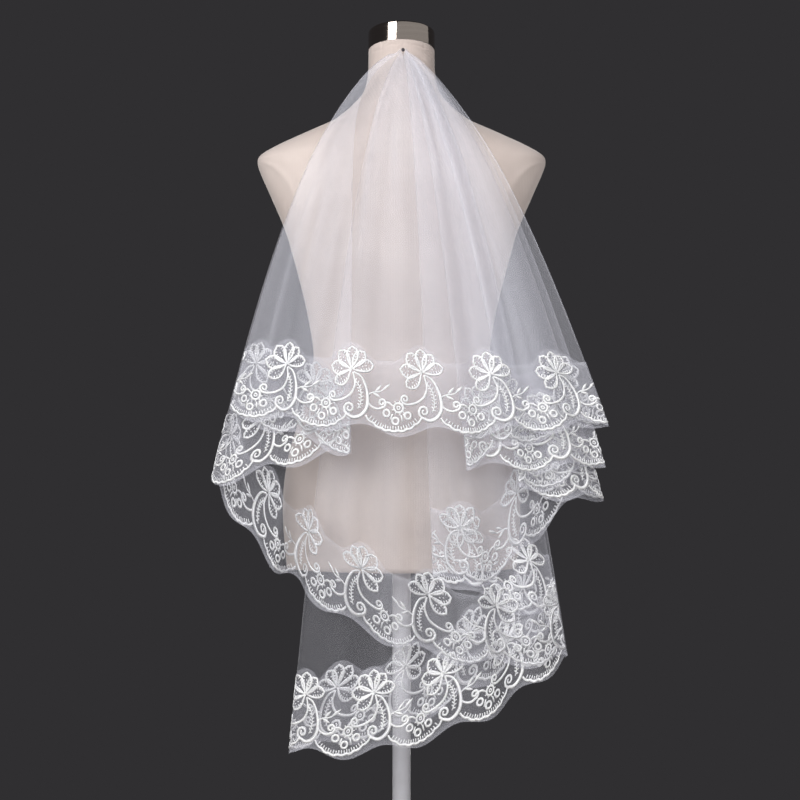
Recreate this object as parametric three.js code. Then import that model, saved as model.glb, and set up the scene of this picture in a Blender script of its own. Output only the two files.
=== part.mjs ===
// Two-tier bridal veil: one oval of soft tulle with a scalloped lace edging sewn round it, pinned at one point
// to the back of the neck of a limbless dress form on a pole stand.
// Millimetres, +Z up, floor at z = 0, pole on the Z axis. The back of the form and the veil face -Y.

import * as THREE from "three";

// Stand and form
const baseRadius = 160;
const baseThickness = 12;
const bossRadius = 24;
const bossHeight = 36;
const poleRadius = 12.5;
const seamGap = 0.3;
const roundSteps = 32;
const neckLean = 12;
const capRadius = 46;
const capHeight = 28;
const capCentreY = 2.5;

// Pin at the back of the neck
const pinX = 2;
const pinZ = 1469.4;
const pinHeadRadius = 2.4;
const pinShaftRadius = 0.5;
const pinShaftStart = -45.6;
const pinShaftEnd = -72;

// Cloth
const tulleWall = 1;
const laceWall = 0.9;
const laceGap = 0.7;
const seamPull = 0.36;
const gatherDrop = 4;
const spreadPower = 0.6;
const levelCount = 9;
const levelGapTop = 2.6;
const levelGapHem = 9;
const levelGapDrop = 520;
const fluteDepth = 9;
const fluteDrop = 511;
const flutePower = 0.8;
const turnWidthTop = 1.6;
const turnWidthHem = 6.5;
const turnColumns = 4;
const laceRepeats = 36;
const lacePhase = 0.7;
const laceDipHeight = 78;
const laceDomeRise = 34;
const laceDomeAt = 0.27;
const laceDomeHalf = 0.3;
const laceLineHigh = 118;
const laceLineLow = 72;
const scallopDepth = 14;
const hemSamples = 120;

// Form sections from the neck down: half width, depth of the back and of the front, lean of the section
const formSections = [
  { z: 1481, half: 46, back: 43, front: 48, lean: neckLean },
  { z: 1449, half: 47, back: 46, front: 48, lean: 8 },
  { z: 1424, half: 53, back: 55, front: 47, lean: 4 },
  { z: 1406, half: 68, back: 62, front: 47, lean: 2 },
  { z: 1393, half: 84, back: 67, front: 48, lean: 0 },
  { z: 1383, half: 99, back: 71, front: 50, lean: 0 },
  { z: 1366, half: 138, back: 78, front: 56, lean: 0 },
  { z: 1350, half: 173, back: 84, front: 62, lean: 0 },
  { z: 1337, half: 195, back: 88, front: 68, lean: 0 },
  { z: 1326, half: 199, back: 91, front: 74, lean: 0 },
  { z: 1310, half: 194, back: 94, front: 82, lean: 0 },
  { z: 1285, half: 183, back: 97, front: 96, lean: 0 },
  { z: 1236, half: 162, back: 98, front: 119, lean: 0 },
  { z: 1200, half: 151, back: 95, front: 125, lean: 0 },
  { z: 1152, half: 138, back: 88, front: 109, lean: 0 },
  { z: 1106, half: 128, back: 80, front: 92, lean: 0 },
  { z: 1059, half: 122, back: 76, front: 83, lean: 0 },
  { z: 1015, half: 129, back: 83, front: 86, lean: 0 },
  { z: 970, half: 143, back: 97, front: 91, lean: 0 },
  { z: 925, half: 156, back: 109, front: 94, lean: 0 },
  { z: 880, half: 163, back: 114, front: 93, lean: 0 },
  { z: 834, half: 164, back: 112, front: 88, lean: 0 },
  { z: 770, half: 159, back: 103, front: 80, lean: 0 },
];

// Rearmost surface of the veil by drop below the pin: depth behind the pole's axis and roundness across
const drapeSections = [
  { drop: 0, depth: 47, round: 0.011 },
  { drop: 45, depth: 59, round: 0.0055 },
  { drop: 95, depth: 78, round: 0.0026 },
  { drop: 150, depth: 98, round: 0.00135 },
  { drop: 200, depth: 105, round: 0.00115 },
  { drop: 260, depth: 108, round: 0.001 },
  { drop: 360, depth: 111, round: 0.00095 },
  { drop: 500, depth: 116, round: 0.0009 },
  { drop: 650, depth: 121, round: 0.0009 },
  { drop: 960, depth: 122, round: 0.0009 },
];

// Stretches of the oval's edge in order: place in the stack (0 is nearest the viewer), angle from straight down
// and reach from the pin of the fold that ends the stretch, how that fold fans out (power) or the drop in which it
// swings out to hang straight (settle), bulge of the hem between folds and its skew to the end, mesh columns
const stretches = [
  { name: "upper_fall", level: 0, toAngle: 28, toReach: 572, power: 0.66, bulge: -40, columns: 46 },
  { name: "right_fold_1", level: 1, toAngle: 8.2, toReach: 565, power: 0.64, bulge: -14, columns: 18 },
  { name: "right_fold_2", level: 2, toAngle: 25.5, toReach: 619, power: 0.64, bulge: 0, columns: 16 },
  { name: "right_fold_3", level: 3, toAngle: 14.3, toReach: 614, power: 0.66, bulge: 2, columns: 11 },
  { name: "right_fold_4", level: 4, toAngle: 23.8, toReach: 662, power: 0.64, bulge: 0, columns: 11 },
  { name: "right_fold_5", level: 7, toAngle: 3.1, toReach: 708, power: 0.62, bulge: 7, skew: -50, columns: 18 },
  { name: "right_fold_6", level: 8, toAngle: 15.2, toReach: 796, power: 0.6, bulge: 0, columns: 12 },
  { name: "lower_back", level: 9, toAngle: -9.1, toReach: 948, power: 0.58, bulge: 12, columns: 24 },
  { name: "lower_middle", level: 6, toAngle: 15, toReach: 846, power: 0.6, bulge: 16, columns: 24 },
  { name: "lower_front", level: 5, toAngle: -23.5, toReach: 640, power: 0.53, bulge: 30, columns: 44 },
  { name: "left_fold_2", level: 2, toAngle: -7, toReach: 548, settle: 35, bulge: -14, columns: 16 },
  { name: "left_fold_1", level: 1, toAngle: -24.8, toReach: 543, power: 0.53, bulge: -4, columns: 16 },
];

// Deep troughs above the hem: place along the stretch, half width as a share of it, depth, drop at which it starts
const troughs = [{ stretch: "lower_front", at: 0.7, half: 0.06, depth: 32, start: 430 }];

// Flutes that radiate from the pin: ray of each ridge or trough and its height
const flutes = [
  { ray: -5.6, height: -0.8 },
  { ray: -4.85, height: 0.8 },
  { ray: -4.1, height: -0.7 },
  { ray: -3.25, height: 1 },
  { ray: -2.48, height: -0.9 },
  { ray: -1.52, height: 0.8 },
  { ray: -0.85, height: -0.5 },
  { ray: -0.1, height: 0.7 },
  { ray: 0.74, height: -0.8 },
  { ray: 1.81, height: 0.9 },
  { ray: 2.55, height: -0.8 },
  { ray: 3.25, height: 0.6 },
  { ray: 3.92, height: -0.8 },
  { ray: 4.85, height: 1 },
  { ray: 5.75, height: -0.7 },
  { ray: 6.45, height: 0.5 },
];

// Drops below the pin of the rows that every stretch shares
const upperRows = [gatherDrop, 17, 50, 100, 162, 250];

const materials = {
  tulle: new THREE.MeshStandardMaterial({ name: "tulle", color: 0xf1f0f0, roughness: 0.8, metalness: 0 }),
  lace: new THREE.MeshStandardMaterial({ name: "lace", color: 0xfbfafa, roughness: 0.7, metalness: 0 }),
  cover: new THREE.MeshStandardMaterial({ name: "cover", color: 0xcbbba4, roughness: 0.85, metalness: 0 }),
  chrome: new THREE.MeshStandardMaterial({ name: "chrome", color: 0xc4c3c1, roughness: 0.25, metalness: 1 }),
  paint: new THREE.MeshStandardMaterial({ name: "paint", color: 0xe9e8e6, roughness: 0.4, metalness: 0 }),
  bead: new THREE.MeshStandardMaterial({ name: "bead", color: 0x2b2624, roughness: 0.3, metalness: 0 }),
};

const radians = (degrees) => (degrees * Math.PI) / 180;
const mix = (a, b, share) => a + (b - a) * share;

// Smooth curve through the rows of a table, by its key column
function curveThrough(table, key, column, at) {
  const last = table.length - 1;
  let i = table.findIndex((row) => row[key] > at) - 1;
  if (i < 0) i = at < table[0][key] ? 0 : last - 1;
  const slope = (j) => {
    const a = table[Math.max(j - 1, 0)];
    const b = table[Math.min(j + 1, last)];
    return (b[column] - a[column]) / (b[key] - a[key]);
  };
  const width = table[i + 1][key] - table[i][key];
  const t = (at - table[i][key]) / width;
  const start = table[i][column];
  const end = table[i + 1][column];
  const rise = end - start;
  const bend = slope(i) * width;
  const settle = slope(i + 1) * width;
  return start + t * (bend + t * (3 * rise - 2 * bend - settle + t * (bend + settle - 2 * rise)));
}

function meshFrom(name, points, triangles, material) {
  const geometry = new THREE.BufferGeometry();
  geometry.setAttribute("position", new THREE.Float32BufferAttribute(points.flat(), 3));
  geometry.setIndex(triangles.flat());
  geometry.computeVertexNormals();
  const mesh = new THREE.Mesh(geometry, material);
  mesh.name = name;
  return mesh;
}

// Closed body through rings of points listed from the top down, each ring anticlockwise seen from above
function ringBody(name, rings, material) {
  const count = rings[0].length;
  const points = rings.flat();
  const triangles = [];
  for (let j = 0; j + 1 < rings.length; j += 1) {
    for (let i = 0; i < count; i += 1) {
      const next = (i + 1) % count;
      const a = j * count + i;
      const b = j * count + next;
      triangles.push([a, a + count, b], [b, a + count, b + count]);
    }
  }
  const centreOf = (ring) => [0, 1, 2].map((k) => ring.reduce((sum, p) => sum + p[k], 0) / count);
  const top = points.length;
  points.push(centreOf(rings[0]), centreOf(rings[rings.length - 1]));
  const foot = (rings.length - 1) * count;
  for (let i = 0; i < count; i += 1) {
    const next = (i + 1) % count;
    triangles.push([top, i, next], [top + 1, foot + next, foot + i]);
  }
  return meshFrom(name, points, triangles, material);
}

function turnedRings(profile, steps) {
  return profile.map(({ radius, z }) => Array.from({ length: steps }, (_, i) => {
    const turn = (2 * Math.PI * i) / steps;
    return [radius * Math.cos(turn), radius * Math.sin(turn), z];
  }));
}

function formRing({ z, half, back, front, lean }) {
  return Array.from({ length: roundSteps }, (_, i) => {
    const turn = (2 * Math.PI * i) / roundSteps;
    const side = Math.sin(turn);
    const y = side * (side < 0 ? back : front);
    return [half * Math.cos(turn), y, z - y * Math.tan(radians(lean))];
  });
}

// Depth of the flutes that radiate from the pin, by ray and drop
function fluteAt(ray, drop) {
  const last = flutes.length - 2;
  const after = flutes.findIndex((flute) => flute.ray > ray) - 1;
  const i = after === -2 ? last : Math.max(after, 0);
  const share = (ray - flutes[i].ray) / (flutes[i + 1].ray - flutes[i].ray);
  const blend = 0.5 - 0.5 * Math.cos(Math.PI * Math.min(Math.max(share, 0), 1));
  const wave = mix(flutes[i].height, flutes[i + 1].height, blend);
  return fluteDepth * (drop / fluteDrop) ** flutePower * (1 + wave);
}

function levelGapAt(drop) {
  const share = Math.min(drop / levelGapDrop, 1);
  return mix(levelGapTop, levelGapHem, share * share * (3 - 2 * share));
}

// Half width of the turn at a fold, by drop
function turnWidthAt(drop) {
  const share = Math.min(drop / levelGapDrop, 1);
  return mix(turnWidthTop, turnWidthHem, share * share * (3 - 2 * share));
}

// Sideways place of a fold at a drop below the pin
function foldSide({ toAngle, toReach, power, settle }, drop) {
  const side = toReach * Math.sin(radians(toAngle));
  const foot = toReach * Math.cos(radians(toAngle));
  if (settle) return (side * (1 - Math.exp(-drop / settle))) / (1 - Math.exp(-foot / settle));
  return side * (drop / foot) ** power;
}

// Depth of the troughs at a place along a stretch
function troughAt({ folds, along, foot }, drop) {
  return troughs.reduce((sum, { stretch, at, half, depth, start }) => {
    const away = Math.abs(along - at) / half;
    if (stretch !== folds[1].name || away >= 1 || drop <= start) return sum;
    const grow = (drop - start) / (foot - start);
    return sum + depth * Math.cos((away * Math.PI) / 2) ** 2 * grow * grow * (3 - 2 * grow);
  }, 0);
}

// Point of the veil between two folds, at a drop below the pin and a place in the stack
function drapePoint(hem, drop) {
  const { folds, along, side, foot, shift, level } = hem;
  const between = (at) => mix(foldSide(folds[0], at), foldSide(folds[1], at), along);
  const x = between(drop) + ((side - between(foot)) * drop) / foot + shift * turnWidthAt(drop);
  const depth = curveThrough(drapeSections, "drop", "depth", drop);
  const round = curveThrough(drapeSections, "drop", "round", drop);
  const stack = (levelCount - level) * levelGapAt(drop);
  const flute = fluteAt(x / drop ** spreadPower, drop);
  return new THREE.Vector3(pinX + x, round * x * x - depth - stack - flute + troughAt(hem, drop), pinZ - drop);
}

// Hem of one stretch: a run at its own place in the stack, then the half turn into the next stretch
function hemAt(index, share) {
  const own = stretches[index];
  const before = stretches[(index + stretches.length - 1) % stretches.length];
  const after = stretches[(index + 1) % stretches.length];
  const way = Math.sign(own.toAngle - before.toAngle);
  const run = 1 - turnColumns / own.columns;
  const along = Math.min(share / run, 1);
  const turn = (Math.PI * Math.max(share - run, 0)) / (1 - run);
  const angle = radians(mix(before.toAngle, own.toAngle, along));
  const bow = own.bulge + (own.skew ?? 0) * (1 - 2 * along);
  const reach = mix(before.toReach, own.toReach, along) + bow * 4 * along * (1 - along);
  return {
    folds: [before, own],
    along,
    side: reach * Math.sin(angle),
    foot: reach * Math.cos(angle),
    shift: way * (1 - 2 * along + Math.sin(turn)),
    level: mix(own.level, after.level, 0.5 - 0.5 * Math.cos(turn)),
    reach,
  };
}

// Length of the hem up to each sample of each stretch, laid flat
function measureHem() {
  const lengths = [];
  let total = 0;
  let previous = null;
  for (let index = 0; index < stretches.length; index += 1) {
    const row = [];
    for (let i = 0; i <= hemSamples; i += 1) {
      const hem = hemAt(index, i / hemSamples);
      const point = drapePoint(hem, hem.foot);
      if (previous) total += point.distanceTo(previous);
      previous = point;
      row.push(total);
    }
    lengths.push(row);
  }
  return { lengths, total };
}
const hemLengths = measureHem();
const lacePitch = hemLengths.total / laceRepeats;

function repeatAt(index, share) {
  const at = share * hemSamples;
  const i = Math.min(Math.floor(at), hemSamples - 1);
  const row = hemLengths.lengths[index];
  const place = mix(row[i], row[i + 1], at - i) / lacePitch + lacePhase;
  return place - Math.floor(place);
}

function domeAt(repeat) {
  const away = Math.abs(((repeat - laceDomeAt + 1.5) % 1) - 0.5) / laceDomeHalf;
  return laceDipHeight + laceDomeRise * Math.sqrt(Math.max(0, 1 - away * away));
}

// Drops of the rows of one column, down to the scalloped hem, and the height of the lace there
function rowsAt(hem, repeat) {
  const reach = hem.reach - scallopDepth * (0.5 - 0.5 * Math.cos(2 * Math.PI * repeat));
  const foot = hem.foot * (reach / hem.reach);
  const high = foot * (1 - laceLineHigh / reach);
  const low = foot * (1 - laceLineLow / reach);
  const start = upperRows[upperRows.length - 1];
  return { drops: [...upperRows, mix(start, high, 0.5), high, low, foot], top: domeAt(repeat) };
}

// Middle surface of a stretch: points and normals, from the gather to the hem along each column
function stretchGrid(index) {
  const { columns } = stretches[index];
  const step = 0.002;
  return Array.from({ length: columns + 1 }, (_, i) => {
    const share = i / columns;
    const hem = hemAt(index, share);
    const left = hemAt(index, Math.max(share - step, 0));
    const right = hemAt(index, Math.min(share + step, 1));
    const { drops, top } = rowsAt(hem, repeatAt(index, share));
    const pull = ((i === 0) - (i === columns)) * seamPull;
    const nodes = drops.map((drop) => {
      const across = drapePoint(right, drop).sub(drapePoint(left, drop));
      const down = drapePoint(hem, drop + 0.5).sub(drapePoint(hem, drop - 0.5));
      const normal = down.cross(across).normalize();
      return { point: drapePoint(hem, drop).addScaledVector(across.normalize(), pull), normal };
    });
    return { nodes, top };
  });
}

// Closed shell between two offsets from the middle surface
function shellBody(name, grid, near, far, material) {
  const columns = grid.length;
  const rows = grid[0].length;
  const points = [];
  for (const offset of [near, far]) {
    for (const column of grid) {
      for (const { point, normal } of column) {
        points.push(point.clone().addScaledVector(normal, offset).toArray());
      }
    }
  }
  const back = columns * rows;
  const at = (i, j) => i * rows + j;
  const triangles = [];
  const quad = (a, b, c, d) => triangles.push([a, b, c], [a, c, d]);
  for (let i = 0; i + 1 < columns; i += 1) {
    for (let j = 0; j + 1 < rows; j += 1) {
      quad(back + at(i, j), back + at(i, j + 1), back + at(i + 1, j + 1), back + at(i + 1, j));
      triangles.push([at(i, j), at(i + 1, j + 1), at(i, j + 1)], [at(i, j), at(i + 1, j), at(i + 1, j + 1)]);
    }
    quad(at(i, 0), back + at(i, 0), back + at(i + 1, 0), at(i + 1, 0));
    const foot = rows - 1;
    quad(at(i, foot), at(i + 1, foot), back + at(i + 1, foot), back + at(i, foot));
  }
  for (let j = 0; j + 1 < rows; j += 1) {
    const end = columns - 1;
    quad(at(0, j), at(0, j + 1), back + at(0, j + 1), back + at(0, j));
    quad(at(end, j), back + at(end, j), back + at(end, j + 1), at(end, j + 1));
  }
  return meshFrom(name, points, triangles, material);
}

// Lace of a stretch: the lowest rows of its tulle, with a domed upper edge over each flower
function laceGrid(grid) {
  return grid.map(({ nodes, top }) => {
    const [high, low, foot] = nodes.slice(-3);
    const share = (laceLineHigh - top) / (laceLineHigh - laceLineLow);
    const point = high.point.clone().lerp(low.point, share);
    const normal = high.normal.clone().lerp(low.normal, share).normalize();
    return [{ point, normal }, low, foot];
  });
}

const group = new THREE.Group();
group.name = "bridal_veil_on_form";

group.add(ringBody("form_torso", formSections.map(formRing), materials.cover));

const capProfile = [
  { radius: capRadius - 1.5, z: capHeight },
  { radius: capRadius, z: capHeight - 1.5 },
  { radius: capRadius, z: 1 },
  { radius: capRadius - 1, z: 0 },
];
const cap = ringBody("form_neck_cap", turnedRings(capProfile, roundSteps), materials.chrome);
cap.geometry.rotateX(-radians(neckLean));
const neckTop = formSections[0].z - capCentreY * Math.tan(radians(neckLean));
cap.geometry.translate(0, capCentreY, neckTop + seamGap / Math.cos(radians(neckLean)));
group.add(cap);

const poleTop = formSections[formSections.length - 1].z - seamGap;
const poleFoot = bossHeight + seamGap;
const poleProfile = [
  { radius: poleRadius, z: poleTop },
  { radius: poleRadius, z: poleFoot },
];
group.add(ringBody("stand_pole", turnedRings(poleProfile, roundSteps), materials.paint));

const baseProfile = [
  { radius: bossRadius - 2, z: bossHeight },
  { radius: bossRadius, z: bossHeight - 2 },
  { radius: bossRadius, z: baseThickness + 6 },
  { radius: bossRadius + 8, z: baseThickness },
  { radius: baseRadius - 6, z: baseThickness - 3 },
  { radius: baseRadius, z: baseThickness - 8 },
  { radius: baseRadius, z: 0 },
];
group.add(ringBody("stand_base", turnedRings(baseProfile, roundSteps), materials.paint));

const pinLength = pinShaftStart - pinShaftEnd;
const headTurns = [150, 120, 90, 60, 30];
const pinProfile = [
  ...headTurns.toReversed().map((turn) => ({
    radius: pinHeadRadius * Math.sin(radians(turn)),
    z: pinLength + pinHeadRadius * (Math.cos(radians(turn)) + Math.cos(radians(30))),
  })),
  { radius: pinShaftRadius, z: pinLength },
  { radius: pinShaftRadius, z: 0 },
];
const pin = ringBody("pin", turnedRings(pinProfile, 12), materials.bead);
pin.geometry.rotateX(Math.PI / 2);
pin.geometry.translate(pinX, pinShaftStart, pinZ);
group.add(pin);

const laceNear = tulleWall / 2 + laceGap;
stretches.forEach(({ name }, index) => {
  const grid = stretchGrid(index);
  const tulle = grid.map(({ nodes }) => nodes);
  group.add(shellBody(`tulle_${name}`, tulle, -tulleWall / 2, tulleWall / 2, materials.tulle));
  group.add(shellBody(`lace_${name}`, laceGrid(grid), laceNear, laceNear + laceWall, materials.lace));
});

export default group;
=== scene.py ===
import math

import bpy
import numpy as np
from mathutils import Matrix, Vector


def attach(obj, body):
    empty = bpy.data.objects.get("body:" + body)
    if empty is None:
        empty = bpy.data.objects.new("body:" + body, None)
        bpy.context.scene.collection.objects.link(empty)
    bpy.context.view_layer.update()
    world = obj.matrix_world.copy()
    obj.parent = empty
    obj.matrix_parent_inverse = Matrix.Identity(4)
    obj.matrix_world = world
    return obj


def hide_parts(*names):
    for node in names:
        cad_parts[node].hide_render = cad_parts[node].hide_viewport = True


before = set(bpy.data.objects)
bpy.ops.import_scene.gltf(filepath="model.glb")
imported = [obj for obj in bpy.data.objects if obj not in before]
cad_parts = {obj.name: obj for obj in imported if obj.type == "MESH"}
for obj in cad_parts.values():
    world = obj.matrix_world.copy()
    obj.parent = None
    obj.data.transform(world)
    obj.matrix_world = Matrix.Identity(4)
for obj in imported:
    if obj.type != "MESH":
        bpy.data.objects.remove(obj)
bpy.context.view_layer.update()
mm = 0.001
fullTurn = 2 * math.pi
lastShare = 1 - 1e-9  # the end of a stretch, just short of the next one
print("frame loaded")


def linear(hexText):  # sRGB hex to the linear colour that shaders take
    parts = [int(hexText[i:i + 2], 16) / 255 for i in (1, 3, 5)]
    return tuple(c / 12.92 if c <= 0.04045 else ((c + 0.055) / 1.055) ** 2.4 for c in parts) + (1.0,)


def setInputs(tree, node, inputs):
    for key, value in inputs.items():
        if isinstance(value, bpy.types.NodeSocket):
            tree.links.new(value, node.inputs[key])
        else:
            node.inputs[key].default_value = value


# adds a node and gives its outputs; ramp lists the place and colour of each stop
def addNode(tree, kind, settings=None, inputs=None, ramp=()):
    node = tree.nodes.new(kind)
    for key, value in (settings or {}).items():
        setattr(node, key, value)
    setInputs(tree, node, inputs or {})
    for k, (place, colour) in enumerate(ramp):
        node.color_ramp.elements[k].position = place
        node.color_ramp.elements[k].color = linear(colour)
    return node.outputs


def newMaterial(name):  # with its tree and the shader that a new tree holds
    material = bpy.data.materials.new(name)
    material.use_nodes = True
    return material, material.node_tree, material.node_tree.nodes["Principled BSDF"]


def addClouds(tree, coords, scale, detail, ramp):  # noise, and two colours that follow it
    cloud = addNode(tree, "ShaderNodeTexNoise", {}, {"Vector": coords, "Scale": scale, "Detail": detail})
    tint = addNode(tree, "ShaderNodeValToRGB", {}, {"Fac": cloud["Fac"]}, ramp)
    return cloud["Fac"], tint["Color"]


def mix(a, b, share):
    return a + (b - a) * share


def ease(share):  # 0 to 1, gentle at both ends
    return share * share * (3 - 2 * share)


def swing(turn):  # 0 to 1 over half a turn, back over the other half
    return 0.5 - 0.5 * np.cos(turn)


def hump(share):  # 1 in the middle, down to 0 at -1 and at 1
    return np.cos(np.clip(share, -1, 1) * math.pi / 2) ** 2


def around(count):  # even angles over one turn
    return np.linspace(0, fullTurn, count + 1)[:-1]


def direction(degrees):
    return np.array([math.cos(math.radians(degrees)), math.sin(math.radians(degrees))])


def runLength(points):  # length up to each point of a line, or of every column of a grid
    steps = np.linalg.norm(np.diff(points, axis=-2), axis=-1)
    return np.concatenate([np.zeros((*steps.shape[:-1], 1)), np.cumsum(steps, axis=-1)], -1)


def waveScale(spacing):  # scale of a wave texture whose bands lie this many mm apart
    return fullTurn / 20 / (spacing * mm)


def curveThrough(keys, values, at):  # smooth curve through a table, slopes from the neighbours
    keys, values, at = np.asarray(keys, float), np.asarray(values, float), np.asarray(at, float)
    last = len(keys) - 1
    near, far = np.maximum(np.arange(last + 1) - 1, 0), np.minimum(np.arange(last + 1) + 1, last)
    slope = (values[far] - values[near]) / (keys[far] - keys[near])
    i = np.clip(np.searchsorted(keys, at, side="right") - 1, 0, last - 1)
    width = keys[i + 1] - keys[i]
    t = (at - keys[i]) / width
    rise, bend, settle = values[i + 1] - values[i], slope[i] * width, slope[i + 1] * width
    return values[i] + t * (bend + t * (3 * rise - 2 * bend - settle + t * (bend + settle - 2 * rise)))


def meshPiece(name, points, faces, material):
    mesh = bpy.data.meshes.new(name)
    mesh.from_pydata(np.asarray(points).tolist(), [], faces)
    mesh.update()
    mesh.polygons.foreach_set("use_smooth", [True] * len(mesh.polygons))
    mesh.materials.append(material)
    piece = bpy.data.objects.new(name, mesh)
    bpy.context.scene.collection.objects.link(piece)
    return piece


# a mesh over a grid of points in mm; closed joins its columns into a ring and fills both ends
def gridPiece(name, points, material, closed=False):
    index = np.arange(points.shape[0] * points.shape[1]).reshape(points.shape[:2])
    ring = np.vstack([index, index[:1]]) if closed else index
    faces = np.stack([ring[:-1, :-1], ring[:-1, 1:], ring[1:, 1:], ring[1:, :-1]], -1).reshape(-1, 4).tolist()
    if closed:
        faces += [index[:, 0].tolist(), index[::-1, -1].tolist()]
    return meshPiece(name, points.reshape(-1, 3) * mm, faces, material)


def addUv(piece, name, u, v):  # one pair for each point, written to the corners
    uv = np.stack(np.broadcast_arrays(u, v), -1).reshape(-1, 2).astype(np.float32)
    corners = np.empty(len(piece.data.loops), np.int32)
    piece.data.loops.foreach_get("vertex_index", corners)
    piece.data.uv_layers.new(name=name).data.foreach_set("uv", uv[corners].ravel())


def addPointValue(piece, name, values):
    layer = piece.data.attributes.new(name, "FLOAT", "POINT")
    layer.data.foreach_set("value", np.asarray(values, np.float32).ravel())


# Studio

studio = {
    "cameraAt": (-0.0021, -2.6, 1.0),
    "lens": 84.78,  # puts 1884 px on a tangent of 1 in an 800 px frame
    "surround": "#302f31",
    "surroundLight": 1.0,
    "floorRadius": 1.9, "floorSides": 96, "floorDrop": 0.0005,
    "bounces": 5, "diffuseBounces": 3, "netBounces": 64,  # the last for rays through layers of net
    "lights": [  # name, place, height aimed at, width, height, watts
        ("keyLight", (-1.4, -1.87, 2.3), 1.15, 1.12, 2.2, 55),
        ("frontLight", (0.08, -2.35, 1.75), 1.15, 1.9, 0.95, 23),
        ("fillLight", (1.6, -1.95, 1.75), 1.15, 1.6, 1.28, 17),
        # upright, and edge to edge as the cap sees them
        ("roomLeft", (0.75, -2.5, 3.35), 3.35, 3.6, 1.7, 6.4),
        ("roomRight", (2.6, -0.4, 3.35), 3.35, 3.04, 1.7, 5.4),
        ("rearLight", (0.1, 2.6, 0.8), 1.05, 1.4, 1.4, 60),
    ],
}


def makeStudio():
    scene = bpy.context.scene
    scene.view_settings.view_transform = "Standard"
    scene.cycles.transparent_max_bounces = studio["netBounces"]
    scene.cycles.max_bounces = studio["bounces"]
    scene.cycles.diffuse_bounces = studio["diffuseBounces"]
    camera = bpy.data.cameras.new("camera")
    camera.lens = studio["lens"]
    camera.sensor_fit = "HORIZONTAL"
    cameraObject = bpy.data.objects.new("camera", camera)
    cameraObject.location = studio["cameraAt"]
    cameraObject.rotation_euler = (math.radians(90), 0, 0)
    scene.collection.objects.link(cameraObject)
    scene.camera = cameraObject
    for name, place, aim, width, height, watts in studio["lights"]:
        lamp = bpy.data.lights.new(name, "AREA")
        lamp.shape = "RECTANGLE"
        lamp.size = width
        lamp.size_y = height
        lamp.energy = watts
        light = bpy.data.objects.new(name, lamp)
        light.location = place
        light.rotation_euler = (Vector((0, 0, aim)) - Vector(place)).to_track_quat("-Z", "Y").to_euler()
        scene.collection.objects.link(light)
    world = bpy.data.worlds.new("darkRoom")
    world.use_nodes = True
    setInputs(world.node_tree, world.node_tree.nodes["Background"],
              {"Color": linear(studio["surround"]), "Strength": studio["surroundLight"]})
    scene.world = world
    # rolled vinyl floor, matt and pale, with faint clouds about 0.4 m across
    material, tree, shader = newMaterial("pale vinyl floor")
    coords = addNode(tree, "ShaderNodeTexCoord")["Object"]
    tint = addClouds(tree, coords, 2.4, 4.0, [(0, "#cfccc8"), (1, "#d9d6d2")])[1]
    setInputs(tree, shader, {"Base Color": tint, "Roughness": 0.65})
    turn, radius = around(studio["floorSides"]), studio["floorRadius"]
    rim = np.stack([radius * np.cos(turn), radius * np.sin(turn), np.full_like(turn, -studio["floorDrop"])], -1)
    meshPiece("floor", rim, [range(studio["floorSides"])], material)
    print("studio ready")


makeStudio()


# Finishes

def jerseyCover():
    # cotton jersey pulled tight over padding: matt, warm and pale, a fine rib, clouds of about 110 mm
    material, tree, shader = newMaterial("cotton jersey, knitted")
    coords = addNode(tree, "ShaderNodeTexCoord")["Object"]
    tint = addClouds(tree, coords, 9.0, 5.0, [(0.3, "#c5b6af"), (0.7, "#d5c7c0")])[1]
    # painted shade: darker towards the hips, where less light falls on the form
    height = addNode(tree, "ShaderNodeSeparateXYZ", {}, {"Vector": coords})
    paintedShadeLow = addNode(tree, "ShaderNodeMapRange", {"interpolation_type": "SMOOTHSTEP"},
                      {"Value": height["Z"], "From Min": 0.9, "From Max": 1.08, "To Min": 0.86, "To Max": 1.0})
    shadedTint = addNode(tree, "ShaderNodeVectorMath", {"operation": "SCALE"}, {0: tint, "Scale": paintedShadeLow["Result"]})
    # rib of a real 0.8 mm knit, drawn at 2.2 mm so that it shows, and fuzz of about 1 mm
    rib = addNode(tree, "ShaderNodeTexWave", {"wave_type": "BANDS", "bands_direction": "X"},
                  {"Vector": coords, "Scale": waveScale(2.2), "Distortion": 1.2, "Detail": 2.0})
    fuzz = addNode(tree, "ShaderNodeTexNoise", {}, {"Vector": coords, "Scale": 900.0, "Detail": 3.0})
    knit = addNode(tree, "ShaderNodeMath", {"operation": "ADD"}, {0: rib["Fac"], 1: fuzz["Fac"]})
    bump = addNode(tree, "ShaderNodeBump", {}, {"Height": knit["Value"], "Strength": 0.12, "Distance": 0.0006})
    setInputs(tree, shader, {"Base Color": shadedTint["Vector"], "Normal": bump["Normal"],
                             "Roughness": 0.85, "Sheen Weight": 0.25, "Sheen Roughness": 0.5})
    return material


def brushedSteel():
    # turned and brushed stainless steel: long soft reflections and rings of a 0.3 mm tool mark, drawn at 1.2 mm
    material, tree, shader = newMaterial("stainless steel, brushed")
    coords = addNode(tree, "ShaderNodeTexCoord")["Object"]
    stretch = addNode(tree, "ShaderNodeMapping", {}, {"Vector": coords, "Scale": (14.0, 14.0, 820.0)})
    rings, tint = addClouds(tree, stretch["Vector"], 1.0, 2.0, [(0, "#bfb3aa"), (1, "#d3c7bd")])
    rough = addNode(tree, "ShaderNodeMapRange", {}, {"Value": rings, "To Min": 0.05, "To Max": 0.13})
    bump = addNode(tree, "ShaderNodeBump", {}, {"Height": rings, "Strength": 0.02, "Distance": 0.0002})
    setInputs(tree, shader, {"Base Color": tint, "Normal": bump["Normal"],
                             "Roughness": rough["Result"], "Metallic": 1.0})
    return material


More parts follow.
